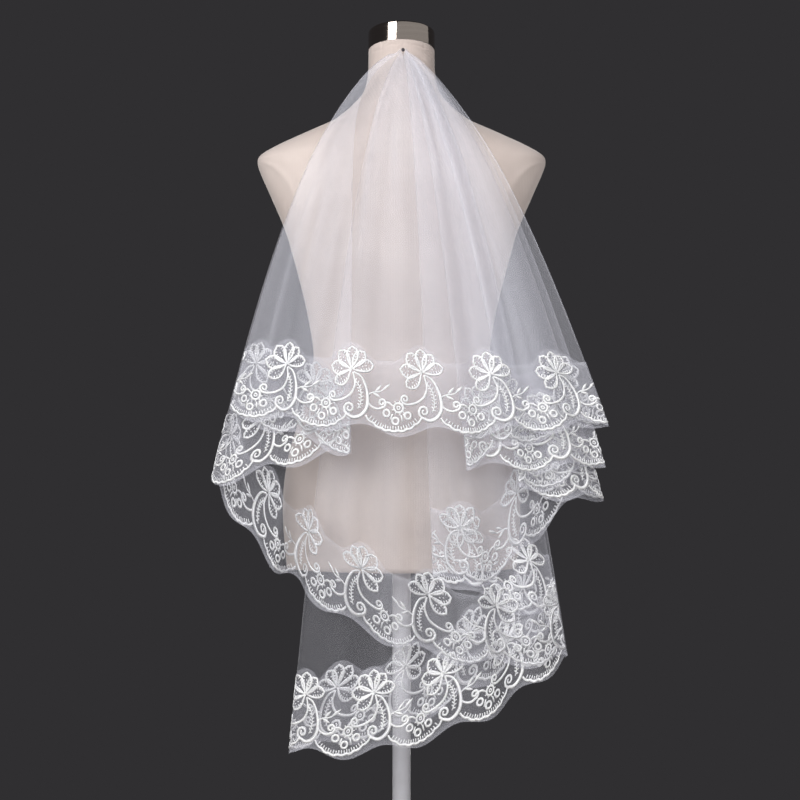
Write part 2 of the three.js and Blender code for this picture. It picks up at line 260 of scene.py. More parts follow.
def whitePaint():
    # steel, powder coated: a hard white skin, a faint orange peel of 2.4 mm, grime in clouds of about 60 mm
    material, tree, shader = newMaterial("steel, white powder coat")
    coords = addNode(tree, "ShaderNodeTexCoord")["Object"]
    grime, tint = addClouds(tree, coords, 16.0, 5.0, [(0.3, "#b8b7bc"), (0.65, "#c9c8ce")])
    rough = addNode(tree, "ShaderNodeMapRange", {}, {"Value": grime, "To Min": 0.3, "To Max": 0.48})
    peel = addNode(tree, "ShaderNodeTexNoise", {}, {"Vector": coords, "Scale": 420.0, "Detail": 2.0})
    bump = addNode(tree, "ShaderNodeBump", {}, {"Height": peel["Fac"], "Strength": 0.08, "Distance": 0.0004})
    setInputs(tree, shader, {"Base Color": tint, "Normal": bump["Normal"], "Roughness": rough["Result"]})
    return material


def glassBead():
    # pressed glass pin head, near black, glossy, with streaks of about 1.4 mm
    material, tree, shader = newMaterial("pressed glass, dark")
    coords = addNode(tree, "ShaderNodeTexCoord")["Object"]
    tint = addClouds(tree, coords, 700.0, 2.0, [(0, "#171419"), (1, "#322d3a")])[1]
    setInputs(tree, shader, {"Base Color": tint, "Roughness": 0.18, "IOR": 1.52})
    return material


def netFinish(name, cover, cell):
    # nylon bobbinet: white threads round open cells, so each layer only veils what is behind it
    material, tree, shader = newMaterial(name)
    flat = addNode(tree, "ShaderNodeUVMap", {"uv_map": "flat"})
    netDensityAndShade = addNode(tree, "ShaderNodeAttribute", {"attribute_name": "netDensityAndShade"})
    # six-sided cells of three crossed waves; a real cell is 1.1 mm, drawn coarser so that the net shows
    waveLength = cell * mm * 0.866  # rows of six-sided cells lie this much closer than the cells
    waves = []
    for turn in (0, 60, 120):
        along = addNode(tree, "ShaderNodeVectorMath", {"operation": "DOT_PRODUCT"},
                        {0: flat["UV"], 1: (*direction(turn) * fullTurn / waveLength, 0)})
        waves.append(addNode(tree, "ShaderNodeMath", {"operation": "COSINE"}, {0: along["Value"]}))
    pair = addNode(tree, "ShaderNodeMath", {"operation": "ADD"}, {0: waves[0]["Value"], 1: waves[1]["Value"]})
    trio = addNode(tree, "ShaderNodeMath", {"operation": "ADD"}, {0: pair["Value"], 1: waves[2]["Value"]})
    # cover is the mean share of thread, less in the cells and more along their walls
    thread = addNode(tree, "ShaderNodeMapRange", {},
                     {"Value": trio["Value"], "From Min": 1.6, "From Max": -1.4,
                      "To Min": cover * 0.62, "To Max": cover * 1.3})
    # thicker or thinner by the point value, which also holds the painted shade along troughs
    dense = addNode(tree, "ShaderNodeMath", {"operation": "MULTIPLY_ADD", "use_clamp": True},
                    {0: netDensityAndShade["Fac"], 1: thread["Result"], 2: thread["Result"]})
    setInputs(tree, shader, {"Base Color": linear("#ebebf5"), "Roughness": 0.8, "Alpha": dense["Value"],
                             "Sheen Weight": 0.2, "Sheen Roughness": 0.4})
    return material


def satinThread():
    # rayon embroidery thread laid side by side: bright white with a soft lustre across the stitches
    material, tree, shader = newMaterial("rayon thread, satin stitch")
    coords = addNode(tree, "ShaderNodeTexCoord")["Object"]
    # stitches of 0.4 mm thread, drawn at 1.5 mm so that they show, and faint shading every 17 mm or so
    along = addNode(tree, "ShaderNodeUVMap", {"uv_map": "stitch"})
    stitch = addNode(tree, "ShaderNodeTexWave", {"wave_type": "BANDS", "bands_direction": "X"},
                     {"Vector": along["UV"], "Scale": waveScale(1.5), "Distortion": 0.6})
    tint = addClouds(tree, coords, 60.0, 3.0, [(0.3, "#f2f2f6"), (0.6, "#fdfdfe")])[1]
    bump = addNode(tree, "ShaderNodeBump", {}, {"Height": stitch["Fac"], "Strength": 0.25, "Distance": 0.0004})
    setInputs(tree, shader, {"Base Color": tint, "Normal": bump["Normal"], "Roughness": 0.5,
                             "Sheen Weight": 0.3, "Sheen Roughness": 0.35})
    return material


coverFinish, steelFinish, paintFinish, beadFinish = jerseyCover(), brushedSteel(), whitePaint(), glassBead()
tulleFinish = netFinish("nylon tulle, bobbinet", 0.085, 2.8)
groundFinish = netFinish("nylon net ground of the lace", 0.1, 3.2)
threadFinish = satinThread()
print("finishes ready")


# Dress form and stand

form = {
    "inset": 0.6,  # mm kept back from the CAD section, clear of the veil
    "around": 176,
    "between": 9, "neckRings": 26,  # rings between two rows of the table, and between the first two
    # wrinkles under the edge of the cover: degrees round, mm below the edge, half span in degrees, slope,
    # depth and half width
    "wrinkles": [
        (-52, 7, 40, 0.05, 1.7, 1.7), (-42, 13, 30, 0.1, 1.5, 1.5), (-58, 20, 22, 0.15, 1.1, 1.6),
        (-104, 6, 30, -0.02, 1.1, 1.5), (-142, 9, 26, 0.06, 1.0, 1.8), (24, 8, 32, 0.04, 1.3, 1.7),
        (66, 13, 24, -0.07, 1.1, 1.5), (118, 7, 35, 0.03, 1.3, 1.9), (160, 16, 20, -0.1, 0.9, 1.6)],
    # soft ridge round each armhole
    "seamHeight": 1280, "seamTall": 47, "seamIn": 35, "seamRidge": 1.3, "seamWide": 5.5, "seamFade": 3,
    # gathers at the neck: share of the first section they reach down, share of the radius, waves round
    "gatherReach": 0.45, "gatherDepth": 0.008, "gatherWaves": 23, "gatherSway": 5, "gatherMore": 37,
    # turned-in edges that close both ends: share of the radius, mm turned in
    "ends": [(0.985, 0.18), (0.95, 0.24), (0.6, 0.24), (0.02, 0.24)],
    # height, half width, back, front, lean of each section, in mm from the neck down
    "sections": [
        (1481, 46, 43, 48, 12), (1449, 47, 46, 48, 8), (1424, 53, 55, 47, 4), (1406, 68, 62, 47, 2),
        (1393, 84, 67, 48, 0), (1383, 99, 71, 50, 0), (1366, 138, 78, 56, 0), (1350, 173, 84, 62, 0),
        (1337, 195, 88, 68, 0), (1326, 199, 91, 74, 0), (1310, 194, 94, 82, 0), (1285, 183, 97, 96, 0),
        (1236, 162, 98, 119, 0), (1200, 151, 95, 125, 0), (1152, 138, 88, 109, 0), (1106, 128, 80, 92, 0),
        (1059, 122, 76, 83, 0), (1015, 129, 83, 86, 0), (970, 143, 97, 91, 0), (925, 156, 109, 94, 0),
        (880, 163, 114, 93, 0), (834, 164, 112, 88, 0), (770, 159, 103, 80, 0)],
}


def makeForm():
    table = np.array(form["sections"], float)
    rows = np.arange(len(table))
    place = np.concatenate([np.linspace(0, 1, form["neckRings"], endpoint=False),
                            np.linspace(1, len(table) - 1, (len(table) - 2) * form["between"] + 1)])
    z, half, back, front, lean = [curveThrough(rows, table[:, k], place)[:, None] for k in range(5)]
    half, back, front = half - form["inset"], back - form["inset"], front - form["inset"]
    turn = around(form["around"])[None, :]
    deep = np.where(np.sin(turn) < 0, back, front)
    x, y = half * np.cos(turn), deep * np.sin(turn)
    tall = np.clip(1 - ((z - form["seamHeight"]) / form["seamTall"]) ** 2, 0, 1)
    away = (np.abs(x) - half + form["seamIn"] * np.sqrt(tall)) / form["seamWide"]
    ridge = form["seamRidge"] * np.exp(-away ** 2) * np.minimum(1, tall * form["seamFade"])
    outward = np.stack([np.cos(turn) / half, np.sin(turn) / deep, np.zeros_like(x)], -1)
    outward /= np.linalg.norm(outward, axis=-1, keepdims=True)
    points = np.stack([x, y, z - y * np.tan(np.radians(lean))], -1) + outward * ridge[..., None]
    below = table[0, 0] - z
    for at, down, reach, slope, depth, wide in form["wrinkles"]:
        aside = (np.degrees(turn) - at + 180) % 360 - 180
        dent = depth * hump(aside / reach) * np.exp(-((below - down - slope * aside) / wide) ** 2)
        points -= outward * dent[..., None]
    crimp = np.sin(turn * form["gatherWaves"] + 2 * np.sin(turn * form["gatherSway"]))
    crimp = crimp + 0.6 * np.sin(turn * form["gatherMore"] + 1)
    crimp = np.maximum(crimp, 0) * np.exp(-(place[:, None] / form["gatherReach"]) ** 2)
    points[..., :2] *= (1 - form["gatherDepth"] * crimp)[..., None]
    top, foot = ([rim.mean(0) + (rim - rim.mean(0)) * inward - [0, 0, sink * way] for inward, sink in form["ends"]]
                 for rim, way in ((points[0], 1), (points[-1], -1)))
    body = np.stack([*top[::-1], *points, *foot], 1)  # column by column, each from the neck down
    cover = gridPiece("formCover", body, coverFinish, closed=True)
    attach(cover, "root")
    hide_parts("form_torso")
    print("form ready")


def turned(name, profile, material, sides):  # profile of (radius, z) in mm, from the top down
    turn = around(sides)[:, None]
    radius, z = np.array(profile, float).T[:, None, :]
    points = np.stack(np.broadcast_arrays(radius * np.cos(turn), radius * np.sin(turn), z), -1)
    return gridPiece(name, points, material, closed=True)


def rounded(profile, radius, steps=4):  # the profile's corners, each eased over a few points
    out = [profile[0]]
    for before, corner, after in zip(profile, profile[1:], profile[2:]):
        a, b, c = (np.array(p, float) for p in (before, corner, after))
        near, far = np.linalg.norm(a - b), np.linalg.norm(c - b)
        cut = min(radius, near * 0.45, far * 0.45)  # short of half of either side
        start, end = b + (a - b) * cut / near, b + (c - b) * cut / far
        for t in np.linspace(0, 1, steps + 1):
            out.append(tuple((1 - t) ** 2 * start + 2 * t * (1 - t) * b + t * t * end))
    return out + [profile[-1]]


stand = {
    # radius and height down each profile, and the radius that eases its corners
    "base": [(2, 36), (22, 36), (24, 34), (24, 18), (32, 12), (154, 9), (160, 4), (160, 0.4), (159, 0), (4, 0)],
    "pole": [(2, 769.7), (11.5, 769.7), (12.5, 768.7), (12.5, 37.3), (11.5, 36.3), (2, 36.3)],
    "cap": [(2, 28), (43.5, 28), (46, 26.5), (46, 0.02), (46, 0), (2, 0)],
    "baseEase": 2.0, "poleEase": 0.8, "capEase": 1.4,
    "sides": 128, "poleSides": 64, "pinSides": 28,
    "capLean": 12, "capY": 2.5, "neckTop": 1481, "seam": 0.3,
    # radius and distance along the pin, head first
    "pin": [(0.3, 0), (1.3, 0.25), (2.0, 1.0), (2.4, 2.2), (2.25, 3.2), (1.7, 4.1), (0.9, 4.6), (0.5, 5.0),
            (0.5, 31), (0.05, 31.5)],
    "pinAt": (2, -76.9, 1469.4),
}


def makeStand():
    base = turned("standBase", rounded(stand["base"], stand["baseEase"]), paintFinish, stand["sides"])
    pole = turned("standPole", rounded(stand["pole"], stand["poleEase"]), paintFinish, stand["poleSides"])
    cap = turned("neckCap", rounded(stand["cap"], stand["capEase"]), steelFinish, stand["sides"])
    lean = math.radians(stand["capLean"])
    lift = stand["neckTop"] - stand["capY"] * math.tan(lean) + stand["seam"] / math.cos(lean)
    cap.data.transform(Matrix.Translation((0, stand["capY"] * mm, lift * mm)) @ Matrix.Rotation(-lean, 4, "X"))
    pin = turned("dressPin", [(r, -d) for r, d in stand["pin"]], beadFinish, stand["pinSides"])
    level = Matrix.Rotation(math.radians(90), 4, "X")
    pin.data.transform(Matrix.Translation([c * mm for c in stand["pinAt"]]) @ level)
    for piece, node, slot in ((base, "stand_base", "paint"), (pole, "stand_pole", "paint"),
                              (cap, "form_neck_cap", "chrome"), (pin, "pin", "bead")):
        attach(piece, "root")
        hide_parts(node)
    print("stand, cap and pin ready")


makeForm()
makeStand()


# Veil: one oval of tulle hung from the pin, followed stretch by stretch round its edge

veil = {
    "pinX": 2, "pinZ": 1469.4, "gather": 4, "spread": 0.6,
    "levels": 9, "gapTop": 2.6, "gapHem": 9, "gapDrop": 520,
    "fluteDepth": 6.5, "fluteDrop": 511, "flutePower": 0.8,
    "turnTop": 1.6, "turnHem": 6.5, "turnColumns": 4, "turnPower": 6,
    # rows drawn up round the pin, rise in mm, share drawn in; gap behind the head, how fast it closes, half width
    "tuft": [1.0, 0.7, 0.35], "tuftHeight": 8, "tuftDraw": 0.45, "tuftGap": 0.7, "tuftClose": 2.2, "tuftHalf": 8,
    # mesh columns for each of the CAD's, rows from gather to hem, closer near the pin, cut edge in mm
    "finer": 5, "rows": 84, "rowPower": 1.25, "edge": 1.6, "meanFall": 600,
    "flatRadius": 690,  # mean radius of the oval laid flat
    # creases: share of the fall over which each end fades, fan power, width in mm at which one is full depth
    "creaseEnds": 0.12, "creaseFan": 0.65, "creaseGrow": 200,
    # denser to the eye where gathered, along ridges, on each fold and at the cut edge; thinner low down, and
    # thinner in troughs, a painted shade along them; fades in mm of drop
    "gatherDense": 0.5, "gatherFade": 70, "lowThin": 0.4, "lowFrom": 450, "lowOver": 250, "ridgeDense": 2.8,
    "troughShade": 0.64, "foldDense": 1.8, "foldTopDense": 3, "foldFade": 160, "edgeDense": 0.8,
    # drop below the pin, depth behind the pole's axis, roundness across
    "drape": [
        (0, 47, 0.011), (45, 59, 0.0055), (95, 78, 0.0026), (150, 98, 0.00135), (200, 105, 0.00115),
        (260, 108, 0.001), (360, 111, 0.00095), (500, 116, 0.0009), (650, 121, 0.0009), (960, 122, 0.0009)],
    # place in the stack; angle, reach, fan power and settling drop of the fold that ends it; bulge of the hem and
    # its skew; columns
    "stretches": {
        "upper_fall": (0, 28, 572, 0.66, 0, -40, 0, 46), "right_fold_1": (1, 8.2, 565, 0.64, 0, -14, 0, 18),
        "right_fold_2": (2, 25.5, 619, 0.64, 0, 0, 0, 16), "right_fold_3": (3, 14.3, 614, 0.66, 0, 2, 0, 11),
        "right_fold_4": (4, 23.8, 662, 0.64, 0, 0, 0, 11), "right_fold_5": (7, 3.1, 708, 0.62, 0, 7, -50, 18),
        "right_fold_6": (8, 15.2, 796, 0.6, 0, 0, 0, 12), "lower_back": (9, -9.1, 948, 0.58, 0, 12, 0, 24),
        "lower_middle": (6, 15, 846, 0.6, 0, 16, 0, 24), "lower_front": (5, -23.5, 640, 0.53, 0, 30, 0, 44),
        "left_fold_2": (2, -7, 548, 0, 35, -14, 0, 16), "left_fold_1": (1, -24.8, 543, 0.53, 0, -4, 0, 16)},
    # deep trough above the hem: stretch, place along it, half width as a share of it, depth, drop where it starts
    "troughs": [("lower_front", 0.7, 0.06, 32, 430)],
    # ray and height of each ridge or trough that radiates from the pin
    "flutes": [
        (-5.6, -0.8), (-4.85, 0.8), (-4.1, -0.7), (-3.25, 1), (-2.48, -0.9), (-1.52, 0.8), (-0.85, -0.5),
        (-0.1, 0.7), (0.74, -0.8), (1.81, 0.9), (2.55, -0.8), (3.25, 0.6), (3.92, -0.8), (4.85, 1), (5.75, -0.7),
        (6.45, 0.5)],
    # creases: place along the stretch, start and end of the fall, depth in mm, half width in mm
    "creases": {
        "upper_fall": [(0.29, 0.05, 0.66, 1.5, 4), (0.262, 0.05, 0.6, -1.1, 5), (0.42, 0.15, 0.46, 1.2, 4),
            (0.535, 0.04, 0.75, 1.4, 7), (0.63, 0.02, 0.44, 1.6, 3.5), (0.655, 0.02, 0.4, -1.2, 4),
            (0.7, 0.05, 0.8, 1.6, 3.5), (0.73, 0.1, 0.7, -1.3, 6), (0.79, 0.2, 0.9, -1.4, 6),
            (0.935, 0.06, 0.86, 1.3, 4), (0.05, 0.3, 0.96, 1.2, 3.5), (0.18, 0.35, 0.98, 1.2, 10),
            (0.47, 0.45, 0.97, 1.0, 11)],
        "right_fold_1": [(0.3, 0.05, 0.8, 1.2, 7), (0.62, 0.3, 0.96, -1.1, 8)],
        "right_fold_2": [(0.45, 0.1, 0.9, 1.2, 6)],
        "right_fold_3": [(0.4, 0.25, 0.97, 1.0, 6)],
        "right_fold_4": [(0.42, 0.1, 0.7, -1.1, 7)],
        "right_fold_5": [(0.3, 0.08, 0.92, 1.3, 8), (0.66, 0.4, 0.98, -1.2, 9)],
        "right_fold_6": [(0.45, 0.3, 0.95, 1.3, 8)],
        "lower_back": [(0.22, 0.35, 0.97, 1.6, 10), (0.52, 0.5, 0.99, -1.5, 12), (0.74, 0.3, 0.85, 1.3, 9)],
        "lower_middle": [(0.25, 0.4, 0.98, 1.5, 9), (0.48, 0.55, 0.97, -1.6, 11), (0.7, 0.3, 0.92, 1.4, 8)],
        "lower_front": [(0.14, 0.35, 0.97, 1.5, 9), (0.33, 0.5, 0.98, -1.4, 12), (0.55, 0.4, 0.95, 1.6, 10),
            (0.76, 0.55, 0.99, -1.3, 9)],
        "left_fold_2": [(0.4, 0.15, 0.92, 1.2, 7)],
        "left_fold_1": [(0.45, 0.3, 0.96, -1.2, 8)],
    },
}
stretchNames = list(veil["stretches"])
stretchTable = np.array(list(veil["stretches"].values()), float).T


def hemAt(place):  # place counts stretches round the edge: 2.5 is half way along the third
    place = np.asarray(place, float)
    own = np.floor(place).astype(int) % len(stretchNames)
    share = place - np.floor(place)
    before, after = own - 1, (own + 1) % len(stretchNames)
    level, angle, reach, _, _, bulge, skew, columns = stretchTable
    way = np.sign(angle[own] - angle[before])
    run = 1 - veil["turnColumns"] / columns[own]
    along = np.minimum(share / run, 1)
    turn = math.pi * np.maximum(share - run, 0) / (1 - run)
    slant = np.radians(mix(angle[before], angle[own], along))
    bow = (bulge[own] + skew[own] * (1 - 2 * along)) * 4 * along * (1 - along)
    length = mix(reach[before], reach[own], along) + bow
    return {"before": before, "own": own, "along": along, "reach": length,
            "side": length * np.sin(slant), "drop": length * np.cos(slant),
            "shift": way * (1 - 2 * along + np.sin(turn)), "crest": np.sin(turn) ** veil["turnPower"],
            "level": mix(level[own], level[after], swing(turn))}


def foldSide(fold, drop):  # a fold fans out from the pin, or swings out early and then hangs straight
    angle, reach, power, settle = (column[fold][:, None] for column in stretchTable[1:5])
    side, foot = reach * np.sin(np.radians(angle)), reach * np.cos(np.radians(angle))
    early = np.maximum(settle, 1e-3)  # never 0, as it divides even where it is not used
    hung = (1 - np.exp(-drop / early)) / (1 - np.exp(-foot / early))
    return side * np.where(settle > 0, hung, (drop / foot) ** power)


def fluteAt(ray, drop):
    rays, heights = np.array(veil["flutes"], float).T
    i = np.clip(np.searchsorted(rays, ray, side="right") - 1, 0, len(rays) - 2)
    share = np.clip((ray - rays[i]) / (rays[i + 1] - rays[i]), 0, 1)
    wave = mix(heights[i], heights[i + 1], swing(math.pi * share))
    return veil["fluteDepth"] * (drop / veil["fluteDrop"]) ** veil["flutePower"] * (1 + wave)


def drapePoints(hem, drop):  # columns down the first axis, drops along the second
    along, side, foot, shift, level = (hem[key][:, None] for key in ("along", "side", "drop", "shift", "level"))
    low = ease(np.minimum(drop / veil["gapDrop"], 1))
    here, hemmed = (mix(foldSide(hem["before"], at), foldSide(hem["own"], at), along) for at in (drop, foot))
    x = here + (side - hemmed) * drop / foot + shift * mix(veil["turnTop"], veil["turnHem"], low)
    drops, depths, rounds = np.array(veil["drape"], float).T
    stack = (veil["levels"] - level) * mix(veil["gapTop"], veil["gapHem"], low)
    y = curveThrough(drops, rounds, drop) * x * x - curveThrough(drops, depths, drop)
    y = y - stack - fluteAt(x / drop ** veil["spread"], drop)
    for name, at, half, deep, start in veil["troughs"]:
        grow = np.clip((drop - start) / np.maximum(foot - start, 1), 0, None)
        inside = hem["own"][:, None] == stretchNames.index(name)
        y = y + deep * inside * hump((along - at) / half) * ease(grow)
    return np.stack([veil["pinX"] + x, y, veil["pinZ"] - drop], -1)


def shares(count):  # even shares along one stretch
    return np.append(np.linspace(0, 1, count + 1)[:-1], lastShare)


def measureHem():  # hem length up to each sample round the edge, laid flat
    lengths, places, total, previous = [], [], 0.0, None
    for index in range(len(stretchNames)):
        places.append(index + shares(120))
        hem = hemAt(places[-1])
        line = drapePoints(hem, hem["drop"][:, None])[:, 0]
        if previous is not None:
            total += np.linalg.norm(line[0] - previous)
        lengths.append(total + runLength(line))
        total, previous = lengths[-1][-1], line[-1]
    return np.array(lengths), np.array(places), total


hemLengths, hemPlaces, hemTotal = measureHem()

lace = {
    "repeats": 36, "phase": 0.7, "dip": 96, "dome": 22, "domeAt": 0.31, "domeHalf": 0.34, "domePower": 0.6,
    "scallop": 14, "netLift": 0.95, "threadLift": 1.0, "netRows": 9, "netEdge": 0.018,
    "foldDense": 1.2, "edgeDense": 0.9,
    # cloth the embroidery is laid on: margin past each fold, column spacing, top and foot above the hem line, rows
    "margin": 95, "bandStep": 1.6, "bandTop": 128, "bandFoot": -4, "bandRows": 34,
}
pitch = hemTotal / lace["repeats"]


def repeatAt(length):
    place = length / pitch + lace["phase"]
    return place - np.floor(place)


def surfaceNormals(points):
    down = np.gradient(points, axis=1)
    across = np.gradient(points, axis=0)
    normal = np.cross(down, across)
    return normal / np.maximum(np.linalg.norm(normal, axis=-1, keepdims=True), 1e-9)


def stretchColumns(index):  # mesh columns along one stretch: places, hem and length along the edge
    places = index + shares(int(stretchTable[-1][index]) * veil["finer"])
    return places, hemAt(places), np.interp(places, hemPlaces[index], hemLengths[index])


def scallopAt(lengths):  # how far the cut edge rises above the hem line
    return lace["scallop"] * swing(fullTurn * repeatAt(lengths))


def clothPoints(hem, places, drop, foot):  # creased points, outward directions, how much denser each looks
    points = drapePoints(hem, drop)
    normal = surfaceNormals(points)
    fall = drop / foot[:, None]
    share = (places % len(stretchNames))[:, None]
    full = np.minimum(1, hem["reach"][:, None] * fall / veil["creaseGrow"])
    lift, dense = np.zeros_like(drop), np.zeros_like(drop)
    for name, creases in veil["creases"].items():
        index = stretchNames.index(name)
        width = np.ptp(hemLengths[index]) * fall ** veil["creaseFan"]
        for at, start, end, depth, half in creases:
            ends = [np.clip(inside / veil["creaseEnds"], 0, 1) for inside in (fall - start, end - fall)]
            across = (share - index - at) * width / half
            crest = (np.floor(share) == index) * ease(ends[0] * ends[1]) * np.exp(-across ** 2)
            lift += depth * crest * full
            # ridges make the net denser; troughs thin it, a painted shade along each trough
            dense += veil["ridgeDense"] * crest / half if depth > 0 else -veil["troughShade"] * crest ** 4
    return points + normal * lift[..., None], normal, dense


def flatPolar(points, lengths):  # each point's place on the oval laid flat, in metres
    out = (runLength(points) + veil["gather"]) * mm
    angle = (lengths / veil["flatRadius"])[:, None]
    return out * np.cos(angle), out * np.sin(angle)


def makeTulle(index):
    name = stretchNames[index]
    places, hem, lengths = stretchColumns(index)
    foot = hem["drop"] * (hem["reach"] - scallopAt(lengths)) / hem["reach"]
    fall = np.linspace(0, 1, veil["rows"] + 1)[:-1] ** veil["rowPower"]
    fall = np.append(fall, [1 - veil["edge"] / veil["meanFall"], 1])
    drop = veil["gather"] + (foot[:, None] - veil["gather"]) * fall[None, :]
    points, _, dense = clothPoints(hem, places, drop, foot)
    # drawn up to the pin, open behind its head
    tuft = np.array(veil["tuft"])[None, :]
    near = (points[:, :1, 0] - veil["pinX"]) * (1 - veil["tuftDraw"] * tuft)
    opened = np.clip((np.abs(near) - veil["tuftGap"]) / veil["tuftClose"], 0, 1)
    rise = veil["tuftHeight"] * tuft * opened * np.exp(-(near / veil["tuftHalf"]) ** 2)
    ruff = np.broadcast_arrays(veil["pinX"] + near, points[:, :1, 1], points[:, :1, 2] + rise)
    points = np.concatenate([np.stack(ruff, -1), points], 1)
    drop, dense = (np.pad(values, ((0, 0), (len(veil["tuft"]), 0)), "edge") for values in (drop, dense))
    piece = gridPiece("tulle_" + name + "_cloth", points, tulleFinish)
    addUv(piece, "flat", *flatPolar(points, lengths))
    onFold = veil["foldDense"] + veil["foldTopDense"] * np.exp(-drop / veil["foldFade"])
    dense = dense + veil["gatherDense"] * np.exp(-drop / veil["gatherFade"]) + onFold * hem["crest"][:, None]
    dense -= veil["lowThin"] * np.clip((drop - veil["lowFrom"]) / veil["lowOver"], 0, 1)
    dense[:, -2:] += veil["edgeDense"]
    addPointValue(piece, "netDensityAndShade", dense)
    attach(piece, "root")
    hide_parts("tulle_" + name)
    area = sum(polygon.area for polygon in piece.data.polygons)
    longest = runLength(points)[:, -1].max()
    return piece, (np.ptp(hemLengths[index]) * mm, longest * mm), area


# Lace: one repeat of the embroidery drawn flat, then repeated round the edge

def spline(points, step=2.2):  # even points on a smooth curve through a few
    points = np.array(points, float)
    reach = runLength(points)
    fine = np.linspace(0, reach[-1], 200)
    line = np.stack([curveThrough(reach, points[:, k], fine) for k in (0, 1)], -1)
    along = runLength(line)
    even = np.linspace(0, along[-1], max(3, int(along[-1] / step) + 1))
    return np.stack([np.interp(even, along, line[:, k]) for k in (0, 1)], -1)


def curl(centre, start, inner, turns, fromAngle, way):  # spiral from the outside in
    t = np.linspace(0, 1, int(9 * turns) + 2)
    angle = np.radians(fromAngle) + way * fullTurn * turns * t
    radius = mix(start, inner, t ** 0.8)
    return np.stack([centre[0] + radius * np.cos(angle), centre[1] + radius * np.sin(angle)], -1)


def ringOf(centre, radius, count):
    t = around(count)
    return np.stack([centre[0] + radius * np.cos(t), centre[1] + radius * np.sin(t)], -1)


def petalHalf(t, rise=1.05, fall=0.68):  # half width at a share of the length, 0.5 at its widest
    widest = rise / (rise + fall)
    return 0.5 * t ** rise * (1 - t) ** fall / (widest ** rise * (1 - widest) ** fall)


def onPetal(foot, angle, length, bend, share, side=0.0):  # place at a share of a petal's length, mm to its side
    way = direction(angle)
    aside = side + bend * np.sin(share * math.pi)
    return foot + np.multiply.outer(share * length, way) + np.multiply.outer(aside, [-way[1], way[0]])


motif = {  # in mm, from below the medallion and up from the hem line
    # width and height of each kind of cord
    "bold": (3.8, 0.85), "cord": (3.1, 0.7), "line": (2.1, 0.55), "fine": (1.6, 0.45),
    # lobed border: middle, half width, foot, rise and its power; lobes, their depth and how far in they start
    "arch": (-8, 39, 7.5, 18, 2.4), "archPoints": 64, "lobes": 7, "lobeDepth": 1.6, "lobeIn": 0.7,
    "teeth": range(4, 61, 3), "toothFrom": 0.6, "toothTo": 6.0, "toothVary": 0.6, "toothWave": 0.9,
    "rosette": (-1, 37), "rosetteRadius": 6.0, "rosetteHeart": 2.0, "picots": 9, "picotFrom": 7.0, "picotTo": 9.4,
    "eyelets": [(-17.5, 29.5), (-5.5, 20), (11, 27.5)], "eyeletRadius": 4.3,
    "bars": [((-9, 29), (-12.5, 21)), ((2, 28), (4, 19.5)), ((5, 30), (8.5, 22.5))],
    "feeler": [(-8, 39), (-15, 43), (-23, 41.5)],
    # scrolls: points on the way, then centre, outer and inner radius, turns, first angle and way of the curl
    "stem": [(37, 80), (40.5, 65), (35.5, 52), (24.5, 44.5), (13, 41.6), (8.5, 42)],
    "stemCurl": ((8, 48.5), 6.6, 1.6, 1.35, -88, -1),
    "leaf": [(38, 80), (48, 75), (55.5, 63), (59, 48), (57.5, 34.5), (50.5, 25.5), (41, 22), (31.5, 25.5)],
    "leafCurl": ((34.5, 33.5), 8.8, 1.8, 1.4, 250, -1),
    "tail": [(58.5, 43), (64, 37.5), (73, 34.5), (81, 37)], "tailCurl": ((79, 42.5), 6.2, 1.5, 1.3, -62, 1),
    "leafLine": [(40, 70), (46.5, 62), (49.5, 51), (48.5, 39), (45.5, 33)], "featherOut": 3.4, "featherBack": 2.0,
    # angle, length, width and bend of each petal; stitches that reach in from its outline; dots inside
    "flower": (35, 83), "petalFoot": 2.5,
    "petals": [(12, 29, 15, 1.5), (54, 26, 16, 1), (93, 27, 17, -0.5), (132, 29, 17, 1), (173, 30, 17, 1.5),
               (217, 28, 16, 1.5)],
    "petalSteps": 8, "stitches": (0.4, 0.53, 0.66, 0.79, 0.91), "stitchFrom": 0.95, "stitchTo": 0.42,
    "stitchSlant": 1.2, "dots": (0.42, 0.6), "dotLength": 1.7,
    "stamens": (33, 74, 112, 151, 192, 240), "stamenMiddle": 5, "stamenShort": 9, "stamenMore": 2.5,
    # stalk beyond the leaf; foot, angle and length of its buds
    "stalk": [(57.5, 51), (66, 55), (76, 56.5), (82, 59.5)],
    "buds": [((79, 58), 36, 15), ((66, 54.5), -24, 12), ((69, 56), 44, 13)],
}


